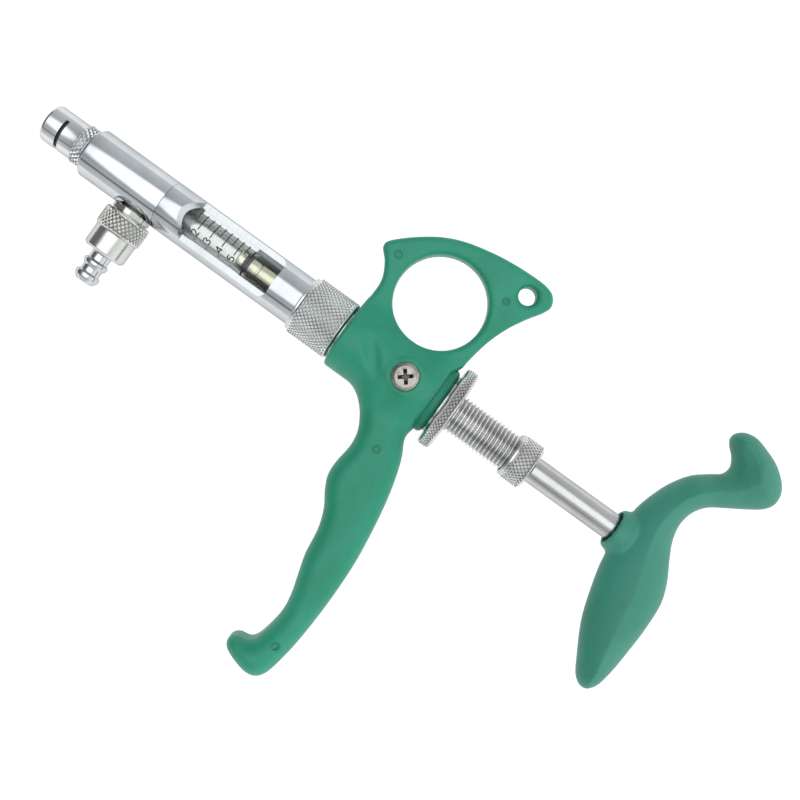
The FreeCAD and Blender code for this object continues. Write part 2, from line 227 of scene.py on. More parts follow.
def green_plastic(name, dark, light):
    """Moulded plastic: a fine spark-eroded texture, faint flow clouds and a soft sheen."""
    mat, tree, shader = new_material(name, light, 0.0, 0.45)
    shader.inputs["Specular IOR Level"].default_value = 0.42
    flow = node(tree, "ShaderNodeTexNoise", Scale=42.0, Detail=8.0, Roughness=0.68,
                Distortion=0.8)
    tree.links.new(coordinates(tree, (1, 0.5, 1)), flow.inputs["Vector"])
    tree.links.new(tint(tree, flow.outputs["Fac"], dark, light, 0.34, 0.66),
                   shader.inputs["Base Color"])
    grain = node(tree, "ShaderNodeTexNoise", Scale=2200.0, Detail=3.0, Roughness=0.7)
    tree.links.new(coordinates(tree, (1, 1, 1)), grain.inputs["Vector"])
    tree.links.new(ramp(tree, grain.outputs["Fac"], 0.3, 0.7, 0.38, 0.54),
                   shader.inputs["Roughness"])
    bump(tree, shader, grain.outputs["Fac"], 0.07 * MM, 0.8)
    return mat


def rubber(name, color):
    mat, tree, shader = new_material(name, color, 0.0, 0.45)
    grain = node(tree, "ShaderNodeTexNoise", Scale=1800.0, Detail=2.0)
    tree.links.new(coordinates(tree, (1, 1, 1)), grain.inputs["Vector"])
    tree.links.new(ramp(tree, grain.outputs["Fac"], 0.3, 0.7, 0.35, 0.6),
                   shader.inputs["Roughness"])
    bump(tree, shader, grain.outputs["Fac"], 0.03 * MM)
    return mat


def barrel_glass():
    mat, tree, shader = new_material("barrel_glass", (0.84, 0.88, 0.865), 0.0, 0.02)
    shader.inputs["Transmission Weight"].default_value = 1.0
    shader.inputs["IOR"].default_value = 1.5
    haze = node(tree, "ShaderNodeTexNoise", Scale=300.0, Detail=2.0)
    tree.links.new(coordinates(tree, (1, 1, 1)), haze.inputs["Vector"])
    tree.links.new(ramp(tree, haze.outputs["Fac"], 0.4, 0.8, 0.0, 0.05),
                   shader.inputs["Roughness"])
    return mat


def scale_ink():
    mat, tree, shader = new_material("scale_ink", (0.02, 0.02, 0.022), 0.0, 0.5)
    wear = node(tree, "ShaderNodeTexNoise", Scale=900.0, Detail=3.0)
    tree.links.new(coordinates(tree, (1, 1, 1)), wear.inputs["Vector"])
    tree.links.new(tint(tree, wear.outputs["Fac"], (0.012, 0.012, 0.014), (0.05, 0.05, 0.055)),
                   shader.inputs["Base Color"])
    return mat


CHROME = metal("polished_chrome", (0.52, 0.55, 0.575), (0.64, 0.67, 0.69), 0.07, 0.14,
               groove=0.003)
NICKEL = metal("nickel_plate", (0.50, 0.50, 0.46), (0.66, 0.655, 0.62), 0.12, 0.22,
               groove=0.004, axis="Y")
STEEL = metal("turned_stainless", (0.46, 0.46, 0.46), (0.60, 0.60, 0.595), 0.14, 0.26,
              groove=0.008)
SCREW_STEEL = metal("screw_steel", (0.27, 0.26, 0.225), (0.46, 0.44, 0.39), 0.26, 0.42,
                    groove=0.02, axis="Z", stain=600.0)
SPRING_STEEL = metal("spring_steel", (0.42, 0.42, 0.42), (0.55, 0.55, 0.55), 0.25, 0.4,
                     groove=0.01, axis="Z")
# Painted shade: the knurled and threaded materials below darken their colour in the valleys of
# their cuts.
KNURLED_NUT = metal("knurled_chrome_painted_shade", (0.78, 0.80, 0.79), (0.93, 0.95, 0.94), 0.16, 0.26,
                    groove=0.004, rim=0.85, cut=(*NUT_KNURL, 0.66))
KNURLED_CAP = metal("knurled_brushed_chrome_painted_shade", (0.70, 0.73, 0.74), (0.85, 0.88, 0.89), 0.13, 0.22,
                    groove=0.004, cut=(*CAP_KNURL, 0.62, 0.88))
KNURLED_UNION = metal("knurled_nickel_painted_shade", (0.72, 0.72, 0.69), (0.90, 0.90, 0.87), 0.14, 0.24,
                      groove=0.004, axis="Y", cut=(*UNION_KNURL, 0.62),
                      middle=(PORT_X * MM, 0, 0))
KNURLED_DISC = metal("knurled_disc_steel_painted_shade", (0.70, 0.69, 0.69), (0.88, 0.87, 0.87), 0.2, 0.32,
                     groove=0.004, rim=0.85, cut=(*DISC_KNURL, 0.58))
KNURLED_END = metal("knurled_end_steel_painted_shade", (0.70, 0.70, 0.69), (0.88, 0.88, 0.87), 0.18, 0.3,
                    groove=0.004, rim=0.85, cut=(*END_KNURL, 0.62))
THREAD_STEEL = metal("threaded_steel_painted_shade", (0.76, 0.76, 0.75), (0.92, 0.92, 0.91), 0.16, 0.28,
                     groove=0.004, rim=0.8, cut=(*DOSE_THREAD, 0.5))
BRASS = metal("turned_brass", (0.86, 0.79, 0.58), (0.97, 0.93, 0.76), 0.22, 0.34, groove=0.006)
MILLED = metal("milled_chrome", (0.54, 0.57, 0.575), (0.63, 0.66, 0.665), 0.2, 0.32, groove=0.01)
BORE = metal("honed_bore", (0.84, 0.86, 0.865), (0.93, 0.95, 0.955), 0.34, 0.46, groove=0.01)
# Painted shade: dark brownish steel for the faces inside the screw's cross recess.
RECESS_SHADE = metal("recess_painted_shade", (0.10, 0.095, 0.08), (0.22, 0.21, 0.18), 0.4, 0.6, axis="Z",
               stain=900.0)
# Painted shade: a darker copy of the frame green, for the rear collar, the pin mark and the
# ejector marks.
SHADED_GREEN = green_plastic("shaded_green_plastic", (0.006, 0.185, 0.105), (0.013, 0.23, 0.145))
GREEN = green_plastic("green_plastic", (0.008, 0.25, 0.140), (0.022, 0.315, 0.200))
PALM_GREEN = green_plastic("palm_green_plastic", (0.028, 0.225, 0.150), (0.046, 0.285, 0.205))
SEAL_RUBBER = rubber("seal_rubber", (0.02, 0.02, 0.02))
# dark rubber for the piston's O-ring, also used as painted shade in the nozzle's slot
O_RING_RUBBER_AND_SLOT_SHADE = rubber("o_ring_rubber", (0.010, 0.014, 0.035))
GLASS = barrel_glass()
INK = scale_ink()


# ---------------------------------------------------------------- mesh tools

def evaluated(obj):
    """The object's mesh with its modifiers applied."""
    graph = bpy.context.evaluated_depsgraph_get()
    return bpy.data.meshes.new_from_object(obj.evaluated_get(graph))


def solid(name, verts, faces):
    """A bare mesh object from millimetre corners, with its faces turned outwards."""
    mesh = bpy.data.meshes.new(name)
    mesh.from_pydata([tuple(c * MM for c in v) for v in verts], [], faces)
    work = bmesh.new()
    work.from_mesh(mesh)
    bmesh.ops.recalc_face_normals(work, faces=work.faces)
    work.to_mesh(mesh)
    work.free()
    made = bpy.data.objects.new(name, mesh)
    bpy.context.scene.collection.objects.link(made)
    return made


def piece(name, verts, faces, node_name, material, cutters=(), cut_material=None, sharp=32.0,
          whole=True):
    """A closed mesh that rides with a CAD node, and stands for it when whole is true."""
    made = solid(name, verts, faces)
    made.data.materials.append(material)
    for cutter in cutters:
        if cut_material:
            cutter.data.materials.append(cut_material)
        cut = made.modifiers.new("cut", "BOOLEAN")
        cut.object = cutter
        cut.material_mode = "TRANSFER"
        made.data = evaluated(made)
        made.modifiers.clear()
        bpy.data.objects.remove(cutter)
        work = bmesh.new()
        work.from_mesh(made.data)
        bmesh.ops.remove_doubles(work, verts=work.verts, dist=0.002 * MM)
        bmesh.ops.dissolve_degenerate(work, edges=work.edges, dist=0.001 * MM)
        work.to_mesh(made.data)
        work.free()
    made.data.shade_smooth()
    made.data.set_sharp_from_angle(angle=radians(sharp))
    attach(made, HOME[node_name])
    if whole:
        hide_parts(node_name)
    return made


def softened(profile, radius=0.12, steps=3):
    """The closed (x, r) outline with each corner off the axis rounded."""
    if not radius:
        return list(profile)
    out = []
    count = len(profile)
    for i, (x, r) in enumerate(profile):
        before, after = profile[i - 1], profile[(i + 1) % count]
        if r < 1e-6:
            out.append((x, r))
            continue
        reach = min(radius, hypot(x - before[0], r - before[1]) * 0.45,
                    hypot(x - after[0], r - after[1]) * 0.45)

        def towards(p):
            length = hypot(p[0] - x, p[1] - r)
            return x + (p[0] - x) / length * reach, r + (p[1] - r) / length * reach

        a, b = towards(before), towards(after)
        for k in range(steps + 1):
            t = k / steps
            out.append(tuple((1 - t) ** 2 * a[m] + 2 * t * (1 - t) * (x, r)[m] + t * t * b[m]
                             for m in (0, 1)))
    return out


def spun(rings, count):
    """Corners and faces of a closed surface of revolution about X.

    A ring is (x, r), or (x, [r for each of count places round]). A twisted quad is
    split along its lower diagonal, so that grooves stay straight.
    """
    verts, ids, radii = [], [], []
    for x, r in rings:
        row = list(r) if hasattr(r, "__len__") else [r] * count
        radii.append(row)
        if max(row) < 1e-6:
            ids.append([len(verts)] * count)
            verts.append((x, 0.0, 0.0))
            continue
        ids.append(list(range(len(verts), len(verts) + count)))
        verts += [(x, q * cos(tau * k / count), q * sin(tau * k / count))
                  for k, q in enumerate(row)]
    faces = []
    for i, a in enumerate(ids):
        j = (i + 1) % len(ids)
        b, ra, rb = ids[j], radii[i], radii[j]
        for k in range(count):
            n = (k + 1) % count
            corner = list(dict.fromkeys((a[k], a[n], b[n], b[k])))
            twist = ra[k] + rb[n] - ra[n] - rb[k]
            if len(corner) < 3:
                continue
            if len(corner) == 3 or abs(twist) < 1e-6:
                faces.append(corner)
            elif twist < 0:
                faces += [(a[k], a[n], b[n]), (a[k], b[n], b[k])]
            else:
                faces += [(a[k], a[n], b[k]), (a[n], b[n], b[k])]
    return verts, faces


def to_port(verts):
    """From along +X to along -Y, out of the inlet port."""
    return [(PORT_X + y, -x, z) for x, y, z in verts]


def to_screw(verts):
    """From along +X to along +Z, on the frame screw's axis."""
    return [(SCREW_X + y, z, x) for x, y, z in verts]


def length_of(node_name, place=None):
    low, high = extent(node_name, 1 if place is to_port else 0)
    return high - low


def from_near_end(node_name, profile, place):
    """The profile moved from the node's near end to its place on its own axis."""
    if place is to_port:
        start = -extent(node_name, 1)[1]
    else:
        start = extent(node_name, 0)[0]
    return [(start + x, r) for x, r in profile]


def turned(name, profile, node_name, material, count=96, soft=0.12, place=None, near_end=True,
           **more):
    """A turned piece. Its profile starts at the node's near end, or at zero without near_end."""
    if near_end:
        profile = from_near_end(node_name, profile, place)
    verts, faces = spun(softened(profile, soft), count)
    return piece(name, place(verts) if place else verts, faces, node_name, material, **more)


def knurl_rows(x0, x1, radius, depth, around, pitch, fine=4):
    """Rings of a diamond knurl between x0 and x1, running out at both ends."""
    rows = max(int(round((x1 - x0) / pitch * fine)), 2)
    rings = []
    for i in range(rows + 1):
        x = x0 + (x1 - x0) * i / rows
        run_out = max(0.0, 1 - min(x - x0, x1 - x) / (0.3 * pitch)) * 0.3
        radii = []
        for k in range(around * fine):
            a, b = k / fine, i / fine
            lift = min(abs((p + 0.5) % 1 - 0.5) * 2 for p in (a + b, a - b))
            radii.append(radius - depth * max(1 - min(lift * 1.5, 1), run_out))
        rings.append((x, radii))
    return rings


def knurled(name, profile, band, node_name, material, place=None):
    """A turned piece whose long face of radius band[0] carries a diamond knurl.

    band is (radius, depth, teeth around, pitch along). The profile starts at the near end.
    """
    radius, depth, around, pitch = band
    rings = softened(from_near_end(node_name, profile, place), 0.12)
    face = next(i for i in range(len(rings) - 1)
                if abs(rings[i][1] - radius) < 1e-6 and abs(rings[i + 1][1] - radius) < 1e-6
                and rings[i + 1][0] - rings[i][0] > pitch)
    rows = knurl_rows(rings[face][0], rings[face + 1][0], radius, depth, around, pitch)
    verts, faces = spun([*rings[:face + 1], *rows, *rings[face + 1:]], around * 4)
    return piece(name, place(verts) if place else verts, faces, node_name, material, sharp=24.0)


def coil(name, radius, wire, turns, node_name, place=None):
    """A compression spring as long as its node, with one closed turn at each end."""
    (x0, _), (x1, _) = from_near_end(node_name, [(0, 0), (length_of(node_name, place), 0)], place)
    steps, sides = int(turns * 28), 10
    verts = []
    for i in range(steps + 1):
        turn = turns * i / steps
        free = (turn - 1) / (turns - 2)
        span = x1 - x0 - 2 * wire
        if turn < 1:
            x = x0 + wire / 2 + turn * wire
        elif turn > turns - 1:
            x = x1 - wire / 2 - (turns - turn) * wire
        else:
            x = x0 + 1.5 * wire + free * (span - wire)
        angle = tau * turn
        for k in range(sides):
            r = radius + wire / 2 * cos(tau * k / sides)
            verts.append((x + wire / 2 * sin(tau * k / sides), r * cos(angle), r * sin(angle)))
    faces = [tuple(range(sides)), tuple(range(len(verts) - 1, len(verts) - sides - 1, -1))]
    for i in range(steps):
        for k in range(sides):
            n = (k + 1) % sides
            a, b = i * sides, (i + 1) * sides
            faces.append((a + k, a + n, b + n, b + k))
    return piece(name, place(verts) if place else verts, faces, node_name, SPRING_STEEL)


def spline(points, step=0.6):
    """A smooth closed outline through a few points, as evenly spaced samples."""
    p = np.array(points, float)
    prev, nxt, after = np.roll(p, 1, 0), np.roll(p, -1, 0), np.roll(p, -2, 0)
    out = []
    for a, b, c, d in zip(prev, p, nxt, after):
        gaps = [max(np.linalg.norm(q - r), 1e-6) ** 0.5 for q, r in ((a, b), (b, c), (c, d))]
        m1 = gaps[1] * ((b - a) / gaps[0] - (c - a) / (gaps[0] + gaps[1])) + (c - b)
        m2 = gaps[1] * ((d - c) / gaps[2] - (d - b) / (gaps[1] + gaps[2])) + (c - b)
        count = max(int(np.linalg.norm(c - b) / step), 2)
        for k in range(count):
            t = k / count
            out.append((2 * t**3 - 3 * t**2 + 1) * b + (t**3 - 2 * t**2 + t) * m1
                       + (-2 * t**3 + 3 * t**2) * c + (t**3 - t**2) * m2)
    return np.array(out)


def outline_distance(x, y, outline):
    """Signed distance to a closed outline, negative inside."""
    flat_x, flat_y = np.ravel(x), np.ravel(y)
    best = np.full(flat_x.shape, 1e9)
    inside = np.zeros(flat_x.shape, bool)
    for a, b in zip(outline, np.roll(outline, -1, 0)):
        ex, ey = b - a
        wx, wy = flat_x - a[0], flat_y - a[1]
        t = np.clip((wx * ex + wy * ey) / (ex * ex + ey * ey), 0, 1)
        best = np.minimum(best, (wx - ex * t) ** 2 + (wy - ey * t) ** 2)
        if a[1] != b[1]:
            crosses = (a[1] > flat_y) != (b[1] > flat_y)
            inside ^= crosses & (flat_x < ex * (flat_y - a[1]) / ey + a[0])
    return (np.sqrt(best) * np.where(inside, -1, 1)).reshape(np.shape(x))


def blended(a, b, k):
    """Smooth union of two distances."""
    h = np.clip(0.5 + 0.5 * (b - a) / k, 0, 1)
    return b * (1 - h) + a * h - k * h * (1 - h)


def overlap(a, b, k):
    """Smooth intersection of two distances."""
    return -blended(-a, -b, k)


def rod_between(x, y, z, a, b, radius):
    """Distance to a round-ended rod from a to b."""
    along = [q - p for p, q in zip(a, b)]
    gap = (x - a[0], y - a[1], z - a[2])
    t = np.clip(sum(g * d for g, d in zip(gap, along)) / sum(d * d for d in along), 0, 1)
    return np.sqrt(sum((g - d * t) ** 2 for g, d in zip(gap, along))) - radius


def rounded_slab(flat, z, half, edge):
    """A flat shape given height, its rims rounded by edge."""
    qx, qz = flat + edge, np.abs(z) - half + edge
    return (np.minimum(np.maximum(qx, qz), 0)
            + np.hypot(np.maximum(qx, 0), np.maximum(qz, 0)) - edge)


def bar(x, y, z, x0, x1, radius, edge):
    """A round bar along X with rounded rims."""
    return rounded_slab(np.hypot(y, z) - radius, x - (x0 + x1) / 2, (x1 - x0) / 2, edge)


def surface_net(shape, low, high, step):
    """Corners and quads of the surface where shape(x, y, z) is 0."""
    axes = [np.arange(a, b + step, step) for a, b in zip(low, high)]
    x, y = np.meshgrid(axes[0], axes[1], indexing="ij")
    field = shape(x[..., None], y[..., None], axes[2][None, None, :]).astype(np.float32)
    cells = tuple(n - 1 for n in field.shape)
    total = np.zeros(cells + (3,), np.float32)
    hits = np.zeros(cells, np.float32)
    crossings = []
    for axis in range(3):
        a = np.take(field, range(field.shape[axis] - 1), axis)
        b = np.take(field, range(1, field.shape[axis]), axis)
        at = np.argwhere((a < 0) != (b < 0))
        fa, fb = a[tuple(at.T)], b[tuple(at.T)]
        place = at.astype(np.float32)
        place[:, axis] += fa / (fa - fb)
        others = [o for o in range(3) if o != axis]
        keep = np.ones(len(at), bool)
        for o in others:
            keep &= (at[:, o] > 0) & (at[:, o] < field.shape[o] - 1)
        at, place, sign = at[keep], place[keep], fa[keep] < 0
        for d0 in (0, 1):
            for d1 in (0, 1):
                cell = at.copy()
                cell[:, others[0]] -= d0
                cell[:, others[1]] -= d1
                np.add.at(total, tuple(cell.T), place)
                np.add.at(hits, tuple(cell.T), 1)
        crossings.append((axis, others, at, sign))
    used = hits > 0
    index = np.full(cells, -1)
    index[used] = np.arange(used.sum())
    verts = total[used] / hits[used][:, None] * step + np.array([a[0] for a in axes])
    faces = []
    for axis, others, at, sign in crossings:
        corner = []
        for d0, d1 in ((0, 0), (1, 0), (1, 1), (0, 1)):
            cell = at.copy()
            cell[:, others[0]] -= d0
            cell[:, others[1]] -= d1
            corner.append(index[tuple(cell.T)])
        quads = np.stack(corner, 1)
        flip = sign if axis != 1 else ~sign
        quads[flip] = quads[flip][:, ::-1]
        faces.append(quads)
    return settle(shape, verts, step), np.concatenate(faces)


def settle(shape, verts, step):
    """Move the corners onto the surface along its slope."""
    e = step * 0.25
    for _ in range(2):
        x, y, z = verts.T
        value = shape(x, y, z)
        slope = np.stack([(shape(x + e, y, z) - shape(x - e, y, z)),
                          (shape(x, y + e, z) - shape(x, y - e, z)),
                          (shape(x, y, z + e) - shape(x, y, z - e))], 1) / (2 * e)
        size = np.maximum((slope**2).sum(1), 0.2)
        move = slope * (value / size)[:, None]
        verts = verts - np.clip(move, -0.5 * step, 0.5 * step)
    return verts


# ---------------------------------------------------------------- green mouldings

HEAD_OUTLINE = spline([
    (102.5, 0.0), (102.5, 9.0), (102.8, 16.8), (102.2, 19.6), (99.9, 23.6), (97.5, 26.2),
    (97.3, 27.6), (98.3, 29.2), (104.2, 34.6), (109.9, 38.5), (115.6, 41.0), (124.2, 43.1),
    (129.9, 43.9), (135.6, 44.3), (141.3, 44.2), (144.1, 43.3), (145.7, 41.4), (146.0, 39.6),
    (145.1, 37.6), (142.7, 33.9), (139.8, 28.5), (137.6, 22.5), (136.3, 16.5), (135.3, 9.0),
    (133.9, 0.0)])
LEVER_OUTLINE = spline([
    (115.5, -9.0), (116.9, -12.1), (120.1, -16.4), (122.1, -20.2), (122.8, -24.5),
    (122.2, -31.0), (122.5, -35.0), (124.2, -38.8), (127.0, -43.2), (129.0, -48.5),
    (130.4, -57.0), (132.1, -62.7), (133.8, -68.4), (134.6, -74.1), (134.0, -79.8),
    (132.8, -84.3), (131.5, -85.8), (128.5, -86.5), (127.1, -87.6), (126.7, -89.0),
    (127.7, -90.9), (130.3, -92.3), (136.1, -93.7), (138.9, -93.1), (140.9, -90.9),
    (142.7, -82.7), (143.5, -74.1), (143.8, -62.7), (143.4, -51.3), (142.4, -42.8),
    (140.4, -31.4), (138.1, -22.8), (136.4, -18.4), (134.3, -14.4), (133.1, -9.0),
    (131.9, 0.0), (117.9, 0.0)])
PALM_OUTLINE = spline([
    (199.3, 0.0), (199.3, 8.0), (200.8, 14.3), (203.1, 20.0), (206.5, 25.1), (210.5, 28.5),
    (213.5, 30.9), (214.2, 33.4), (212.8, 36.2), (210.5, 38.4), (209.4, 40.2), (209.6, 41.9),
    (211.5, 43.8), (214.9, 44.6), (219.6, 43.5), (224.5, 41.5), (228.8, 37.9), (230.3, 35.0),
    (230.3, 31.8), (228.8, 29.4), (224.5, 26.2), (219.6, 23.1), (215.4, 20.2), (212.8, 16.5),
    (211.9, 12.0), (212.9, 7.0), (215.4, 2.0), (218.5, -3.4), (220.6, -9.0), (221.3, -17.1),
    (221.1, -25.7), (220.5, -34.2), (219.5, -39.0), (217.7, -41.5), (215.8, -41.9),
    (213.4, -40.5), (209.7, -34.8), (205.1, -26.2), (202.0, -17.1), (200.0, -9.1)])


def frame_shape(x, y, z):
    """Ring plate, housing, rear boss, screw pad and lever, run together as one moulding."""
    def flat_distance(outline):
        wide = outline_distance(np.squeeze(x), np.squeeze(y), outline)
        return wide.reshape(np.shape(x))

    ring_hole = RING_R - np.hypot(x - RING_CENTRE[0], y - RING_CENTRE[1])
    hang_hole = HANG_HOLE_R - np.hypot(x - HANG_HOLE[0], y - HANG_HOLE[1])
    flat = np.maximum(np.maximum(flat_distance(HEAD_OUTLINE), ring_hole), hang_hole)
    plate = rounded_slab(flat, z, PLATE_TOP, 1.7)
    housing = bar(x, y, z, 102.5, 133.6, HOUSING_R, 1.3)
    boss = bar(x, y, z, 130.0, 136.2, HOUSING_R - 0.4, 1.0)
    lever = rounded_slab(flat_distance(LEVER_OUTLINE), z, LEVER_TOP, 5.0)
    pad = np.maximum(np.hypot(x - SCREW_X, y) - 5.3, np.abs(z - 5.0) - 5.3)
    solid = blended(housing, plate, 5.0)
    solid = blended(solid, lever, 5.0)
    solid = overlap(solid, 102.45 - x - 2.0 * np.maximum(np.abs(y) - 14, 0), 1.0)
    solid = overlap(solid, x - 133.9 - 0.75 * np.maximum(np.abs(y) - 8.5, 0), 1.2)
    solid = blended(solid, boss, 0.15)
    solid = blended(solid, pad, 0.9)
    dent = rod_between(x, y, z, (109.4, 4.4, 12.7), (117.3, -5.7, 12.6), 3.3)
    solid = overlap(solid, -dent, 0.8)
    solid = np.maximum(solid, ring_hole)
    return np.maximum(solid, 8.5 - np.hypot(y, z))


def palm_shape(x, y, z):
    """A leaf-shaped grip whose two faces meet in a soft ridge, with a collar for the rod."""
    flat = outline_distance(np.squeeze(x), np.squeeze(y), PALM_OUTLINE).reshape(np.shape(x))
    roll, height = 19.0, 9.6
    body = (np.hypot(np.maximum((flat + roll) / roll, 0), z / height) - 1) * height
    collar = bar(x, y, z, 196.8, 202.0, 6.1, 1.1)
    solid = blended(body, collar, 1.6)
    dish = np.sqrt((x - 213.8) ** 2 + (y - 37.5) ** 2 + (z - 13.5) ** 2) - 8.2
    solid = overlap(solid, -dish, 1.5)
    mouth = np.maximum(np.hypot(y, z) - 4.75, x - 198.5)
    bore = np.maximum(np.hypot(y, z) - 5.05, x - 210.9)
    return np.maximum(solid, -np.minimum(mouth, bore))


def moulding(name, shape, low, high, node_name, material, step=0.5):
    verts, faces = surface_net(shape, low, high, step)
    return piece(name, verts.tolist(), faces.tolist(), node_name, material, sharp=60.0)


moulding("handle_frame_moulding", frame_shape, (95.4, -95.6, -12), (148, 46.2, 12),
         "handle_frame", GREEN)
moulding("palm_handle_moulding", palm_shape, (195.3, -43.6, -10.6), (232, 46.4, 10.6),
         "palm_handle", PALM_GREEN)

# Rear collar in the painted shade green.
turned("handle_frame_rear_collar",
       [(133.4, 8.6), (133.4, 9.9), (134.0, HOUSING_R - 0.05), (135.6, HOUSING_R),
        (136.5, 9.6), (136.5, 8.6)],
       "handle_frame", SHADED_GREEN, soft=0.4, near_end=False, whole=False)
# Pin mark in the painted shade green.
turned("frame_pin_mark", [(3.9, 0), (3.9, 1.0), (4.06, 0.95), (4.03, 0.5), (4.02, 0)],
       "handle_frame", SHADED_GREEN, count=40, soft=0.05, near_end=False, whole=False,
       place=lambda verts: [(134.8 + y, 33.9 + z, x) for x, y, z in verts])
# Ejector marks: small rings in the painted shade green.
for number, (mark_x, mark_y, mark_z) in enumerate([
        (134.8, 33.9, PLATE_TOP), (102.5, 26.9, PLATE_TOP),
        (129.5, -21.0, LEVER_TOP), (138.9, -81.9, LEVER_TOP)]):
    verts, faces = spun(softened([(mark_z - 0.2, 0.75), (mark_z + 0.2, 0.75),
                                  (mark_z + 0.2, 1.2), (mark_z - 0.2, 1.2)], 0.12), 40)
    piece(f"ejector_mark_{number}", [(mark_x + y, mark_y + z, x) for x, y, z in verts], faces,
          "handle_frame", SHADED_GREEN, whole=False)


# ---------------------------------------------------------------- nozzle end

def nozzle():
    """Nozzle with a clip slot that runs round its lower side."""
    x0, x1 = CAP_X
    around = 26
    profile = [(8.0, 3.5), (x0 + 0.4, 3.5), (x0, 3.9), (x0, 4.9), (0.25, 5.45),
               (0.8, 5.7), (10.8, 5.7), (10.8, 6.15), (14.1, 6.15), (14.1, 4.0), (x1, 4.0),
               (x1, 1.2), (8.4, 1.2)]
    rings = softened(profile, 0.15)
    groove = [4.5 if cos(tau * k / (around * 4)) * 5.7 < 2.9 else 5.7
              for k in range(around * 4)]
    at = next(i for i, (x, r) in enumerate(rings) if x > CLIP_SLOT[1] and r > 5.6)
    front, rear = CLIP_SLOT
    rings[at:at] = [(front, 5.7), (front + 0.02, groove), (rear - 0.02, groove), (rear, 5.7)]
    face = next(i for i in range(at + 4, len(rings)) if rings[i][1] > 6.14
                and rings[i + 1][0] - rings[i][0] > 1)
    rows = knurl_rows(rings[face][0], rings[face + 1][0], *CAP_KNURL, around, 1.6)
    verts, faces = spun([*rings[:face + 1], *rows, *rings[face + 1:]], around * 4)
    piece("nozzle_with_clip_slot", verts, faces, "nozzle_cap", KNURLED_CAP, sharp=24.0)


def painted_slot_shade_ring():
    """A dark ring laid in the nozzle's slot: painted shade for the depth of the slot."""
    count = 128
    outer = [5.0 if cos(tau * k / count) * 5.7 < 2.9 else 4.48 for k in range(count)]
    verts, faces = spun([(5.25, 4.44), (5.25, outer), (6.15, outer), (6.15, 4.44)], count)
    piece("nozzle_slot_ring", verts, faces, "nozzle_cap", O_RING_RUBBER_AND_SLOT_SHADE, whole=False)


def port_drill(x0, x1, radius, count=96):
    """A cutter along the inlet port's axis."""
    verts, faces = spun([(x0, 0.0), (x0, radius), (x1, radius), (x1, 0.0)], count)
    return solid("drill", to_port(verts), faces)


def head():
    """Chromed valve head with a spot face round its side port."""
    front, rear = HEAD_X
    profile = [(front, 4.05), (front, HEAD_R - 0.55), (front + 0.55, HEAD_R),
               (40.38, HEAD_R), (40.38, 6.05), (rear, 6.05), (rear, 1.25), (29.0, 1.25),
               (27.9, 2.4), (27.9, 2.8), (20.4, 2.8), (20.4, 4.05)]
    verts, faces = spun(softened(profile, 0.1), 160)
    spot_face, port, way = (port_drill(6.1, 12, 6.25), port_drill(2.9, 12, 3.5),
                            port_drill(0.0, 4, 0.9, 32))
    piece("valve_head_body", verts, faces, "valve_head", CHROME,
          cutters=(spot_face, port, way))


def hexagon(across, cap, count):
    """Radii round a hexagon of the given half width, its corners turned down to cap."""
    return [min(across / cos((tau * k / count + pi / 6) % (pi / 3) - pi / 6), cap)
            for k in range(count)]


def nipple():
    """Inlet nipple: a necked hexagon collar above the thread."""
    count = 120
    wide = hexagon(5.45, 5.8, count)
    low = hexagon(5.3, 5.6, count)
    rings = [(3.3, 1.3), (3.3, 3.4), (6.05, 3.42), (6.15, 3.9), (6.4, 4.2), (6.9, 5.0),
             (7.1, low), (7.3, wide), (8.7, wide), (8.85, low), (8.9, 5.15), (16.45, 5.15),
             (16.6, 5.0), (16.6, 2.2), (10.0, 2.2), (10.0, 1.3)]
    verts, faces = spun(rings, count)
    piece("inlet_nipple_hexagon", to_port(verts), faces, "inlet_nipple", NICKEL)


nozzle()
painted_slot_shade_ring()
head()
nipple()
turned("nozzle_gasket_ring", [(0, 1.5), (0, 3.8), (0.65, 3.8), (0.65, 1.5)],
       "nozzle_gasket", SEAL_RUBBER, soft=0.2)
turned("outlet_poppet", [(0, 0), (0, 1.9), (0.25, 2.3), (1.4, 2.3), (2.5, 1.2),
                         (2.5, 0)], "outlet_valve_poppet", STEEL)
coil("outlet_spring", 1.85, 0.6, 6, "outlet_valve_spring")
coil("inlet_spring", 1.45, 0.45, 7, "inlet_valve_spring", place=to_port)
turned("inlet_ball", [(1.6 - 1.6 * cos(pi * k / 24), 1.6 * sin(pi * k / 24))
                      for k in range(25)], "inlet_valve_ball", STEEL, soft=0.0, place=to_port)
turned("inlet_gasket_ring", [(0, 2.5), (0, 5.15), (0.7, 5.15), (0.7, 2.5)],
       "inlet_gasket", SEAL_RUBBER, soft=0.2, place=to_port)
knurled("union_nut_body",
        [(0, 5.25), (0, 6.5), (0.5, 7.0), (5.7, 7.0),
         (6.1, 6.45), (6.5, 6.35), (12.1, 6.3), (12.8, 5.6), (12.8, 3.75), (10.2, 3.75),
         (10.2, 5.25)], (*UNION_KNURL, 30, 1.7), "union_nut", KNURLED_UNION, place=to_port)
turned("hose_barb_body",
       [(0, 1.4), (0, 5.15), (1.85, 5.15), (1.85, 3.7), (4.5, 3.7), (4.8, 3.0),
        (7, 2.9), (7.35, 3.55), (7.7, 3.7), (8.5, 3.6), (9.3, 2.95), (11, 2.9),
        (11.35, 3.55), (11.7, 3.7), (12.7, 3.6), (14.1, 2.5), (14.1, 1.4)],
       "hose_barb", CHROME, place=to_port, soft=0.3)


# ---------------------------------------------------------------- barrel

